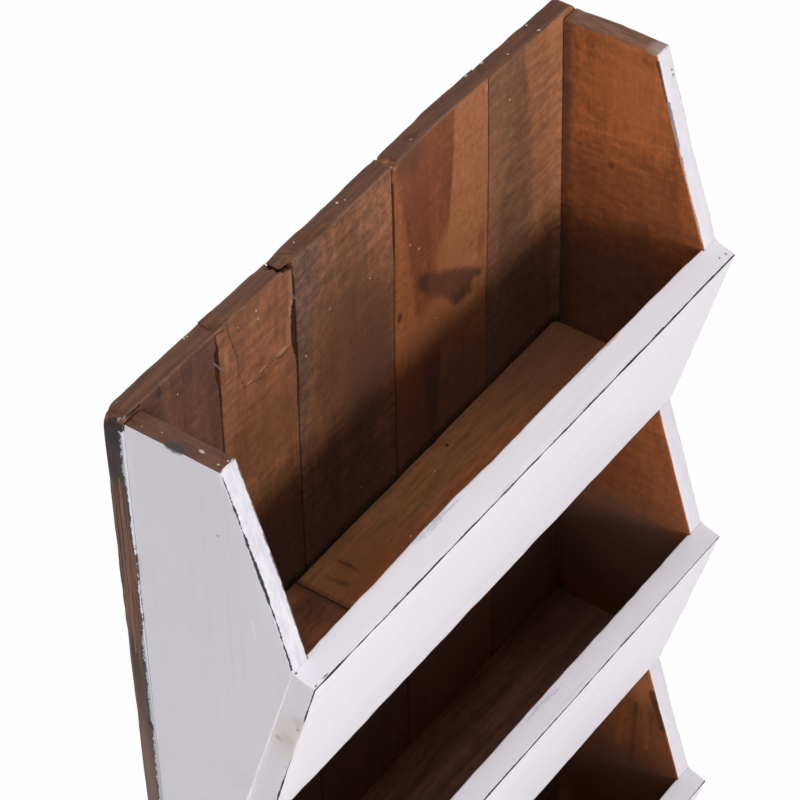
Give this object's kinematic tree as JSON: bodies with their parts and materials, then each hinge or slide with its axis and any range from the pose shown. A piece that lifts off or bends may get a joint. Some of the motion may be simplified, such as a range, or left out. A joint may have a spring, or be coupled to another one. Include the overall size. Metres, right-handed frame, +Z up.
{
  "type": "wall magazine rack",
  "caption": "Wooden wall rack for magazines: upright plank back, zigzag sides and leaning painted front boards that form open pockets one above another, hung on keyhole plates.",
  "frame": {"origin": "on the wall face of the back, midway across, level with the screws that the rack hangs on", "axes": "+X to the right seen from the front, +Y into the wall, so the front faces -Y, +Z up"},
  "size_m": [0.4, 0.1232, 0.7368],
  "materials": {
    "brown_wood": "oiled reclaimed boards with saw marks, knots and worn arrises",
    "white_painted_wood": "brushed white paint rubbed through to dark grey along the arrises, bare brown wood inside",
    "plated_steel": "zinc plated",
    "wire_steel": "bright wire, dulled"
  },
  "bodies": {
    "root": {"back_plank_1": "brown_wood", "back_plank_2": "brown_wood", "back_plank_3": "brown_wood", "back_plank_4": "brown_wood", "back_plank_5": "brown_wood", "floor_nail_bottom_1": "wire_steel", "floor_nail_bottom_2": "wire_steel", "floor_nail_bottom_3": "wire_steel", "floor_nail_bottom_4": "wire_steel", "floor_nail_bottom_5": "wire_steel", "floor_nail_middle_1": "wire_steel", "floor_nail_middle_2": "wire_steel", "floor_nail_middle_3": "wire_steel", "floor_nail_middle_4": "wire_steel", "floor_nail_middle_5": "wire_steel", "floor_nail_top_1": "wire_steel", "floor_nail_top_2": "wire_steel", "floor_nail_top_3": "wire_steel", "floor_nail_top_4": "wire_steel", "floor_nail_top_5": "wire_steel", "front_board_bottom": "white_painted_wood", "front_board_middle": "white_painted_wood", "front_board_top": "white_painted_wood", "front_nail_bottom_left_lower": "wire_steel", "front_nail_bottom_left_upper": "wire_steel", "front_nail_bottom_right_lower": "wire_steel", "front_nail_bottom_right_upper": "wire_steel", "front_nail_middle_left_lower": "wire_steel", "front_nail_middle_left_upper": "wire_steel", "front_nail_middle_right_lower": "wire_steel", "front_nail_middle_right_upper": "wire_steel", "front_nail_top_left_lower": "wire_steel", "front_nail_top_left_upper": "wire_steel", "front_nail_top_right_lower": "wire_steel", "front_nail_top_right_upper": "wire_steel", "hanger_plate_left": "plated_steel", "hanger_plate_right": "plated_steel", "hanger_screw_left_lower": "wire_steel", "hanger_screw_left_upper": "wire_steel", "hanger_screw_right_lower": "wire_steel", "hanger_screw_right_upper": "wire_steel", "joint_staple_1": "wire_steel", "joint_staple_2": "wire_steel", "plank_nail_left_lower": "wire_steel", "plank_nail_left_upper": "wire_steel", "plank_nail_right_lower": "wire_steel", "plank_nail_right_upper": "wire_steel", "pocket_floor_bottom": "brown_wood", "pocket_floor_middle": "brown_wood", "pocket_floor_top_long": "brown_wood", "pocket_floor_top_short": "brown_wood", "side_left": "white_painted_wood", "side_nail_bottom_left": "wire_steel", "side_nail_bottom_right": "wire_steel", "side_nail_middle_left": "wire_steel", "side_nail_middle_right": "wire_steel", "side_nail_top_left": "wire_steel", "side_nail_top_right": "wire_steel", "side_right": "white_painted_wood"}
  },
  "joints": []
}
